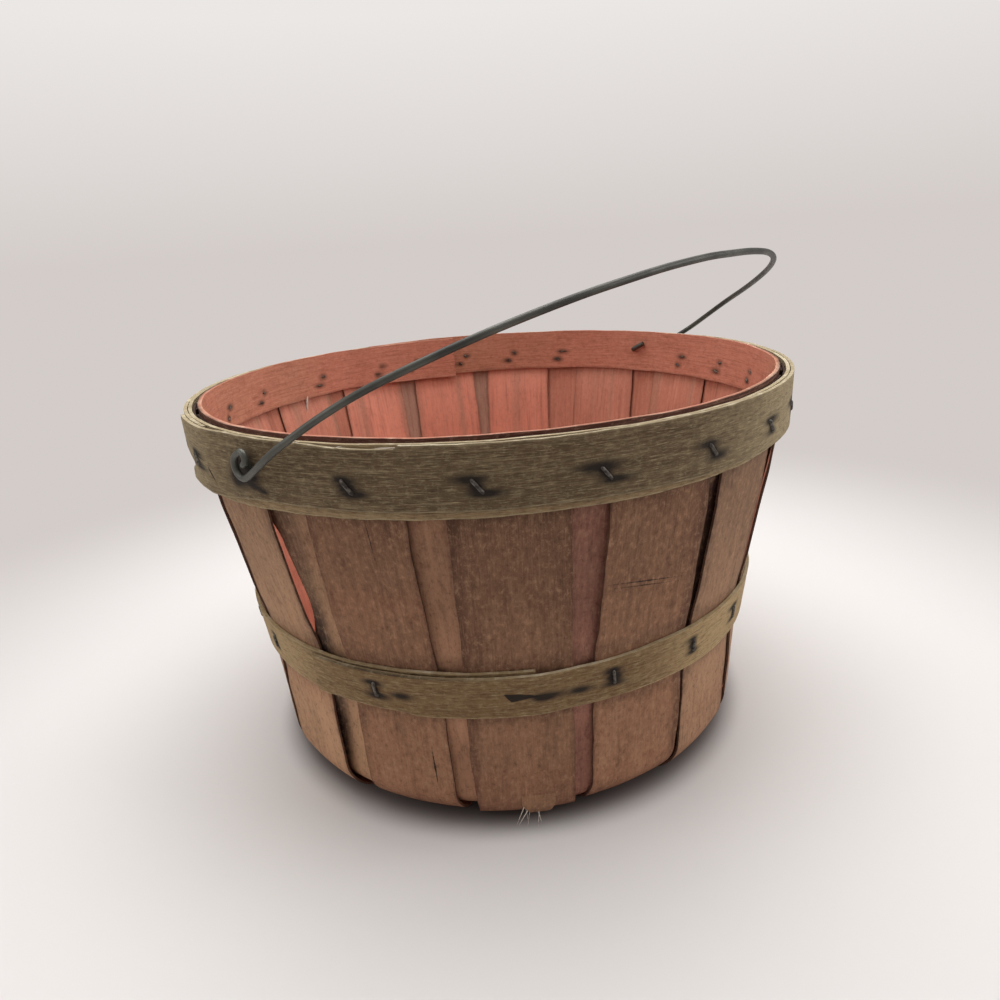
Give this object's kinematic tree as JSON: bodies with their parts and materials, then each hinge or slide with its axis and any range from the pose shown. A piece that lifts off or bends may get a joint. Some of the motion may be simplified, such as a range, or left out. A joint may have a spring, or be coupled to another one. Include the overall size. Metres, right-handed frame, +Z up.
{
  "type": "apple basket",
  "caption": "Round splint-wood fruit basket, flared, with a hooped rim, a middle hoop and a swinging wire bail.",
  "frame": {"origin": "middle of the underside of the first-laid splint, on the floor under the basket's middle", "axes": "+Z up; -Y towards the side seen in the picture; +X to the right in it"},
  "size_m": [0.2946, 0.2894, 0.2295],
  "materials": {
    "outer_splint_wood": "matte",
    "inner_splint_wood": "matte",
    "hoop_wood": "matte",
    "band_wood": "matte",
    "staple_iron": "matte",
    "bail_steel": "satin"
  },
  "bodies": {
    "basket": {"inner_splint_1": "inner_splint_wood", "inner_splint_2": "inner_splint_wood", "inner_splint_3": "inner_splint_wood", "inner_splint_4": "inner_splint_wood", "inner_splint_5": "inner_splint_wood", "inner_splint_6": "inner_splint_wood", "inner_splint_7": "inner_splint_wood", "inner_splint_8": "inner_splint_wood", "middle_hoop": "hoop_wood", "middle_hoop_staple_01": "staple_iron", "middle_hoop_staple_02": "staple_iron", "middle_hoop_staple_03": "staple_iron", "middle_hoop_staple_04": "staple_iron", "middle_hoop_staple_05": "staple_iron", "middle_hoop_staple_06": "staple_iron", "middle_hoop_staple_07": "staple_iron", "middle_hoop_staple_08": "staple_iron", "middle_hoop_staple_09": "staple_iron", "middle_hoop_staple_10": "staple_iron", "middle_hoop_staple_11": "staple_iron", "middle_hoop_staple_12": "staple_iron", "middle_hoop_staple_13": "staple_iron", "middle_hoop_staple_14": "staple_iron", "middle_hoop_staple_15": "staple_iron", "middle_hoop_staple_16": "staple_iron", "outer_splint_1": "outer_splint_wood", "outer_splint_2": "outer_splint_wood", "outer_splint_3": "outer_splint_wood", "outer_splint_4": "outer_splint_wood", "outer_splint_5": "outer_splint_wood", "outer_splint_6": "outer_splint_wood", "outer_splint_7": "outer_splint_wood", "outer_splint_8": "outer_splint_wood", "top_hoop_outer_ply": "hoop_wood", "top_hoop_staple_01": "staple_iron", "top_hoop_staple_02": "staple_iron", "top_hoop_staple_03": "staple_iron", "top_hoop_staple_04": "staple_iron", "top_hoop_staple_05": "staple_iron", "top_hoop_staple_06": "staple_iron", "top_hoop_staple_07": "staple_iron", "top_hoop_staple_08": "staple_iron", "top_hoop_staple_09": "staple_iron", "top_hoop_staple_10": "staple_iron", "top_hoop_staple_11": "staple_iron", "top_hoop_staple_12": "staple_iron", "top_hoop_staple_13": "staple_iron", "top_hoop_staple_14": "staple_iron", "top_hoop_staple_15": "staple_iron", "top_hoop_staple_16": "staple_iron", "top_hoop_staple_17": "staple_iron", "top_hoop_staple_18": "staple_iron", "top_hoop_staple_19": "staple_iron", "top_hoop_staple_20": "staple_iron", "top_hoop_staple_21": "staple_iron", "top_hoop_under_ply": "hoop_wood", "top_inner_band": "band_wood"},
    "bail": {"bail": "bail_steel"}
  },
  "joints": [
    {"name": "bail_swing", "type": "hinge", "parent": "basket", "child": "bail", "pos_m": [0.00438, -0.00378, 0.1675], "axis": [0.6528, 0.7576, 0], "range_deg": [-136, 20]}
  ]
}
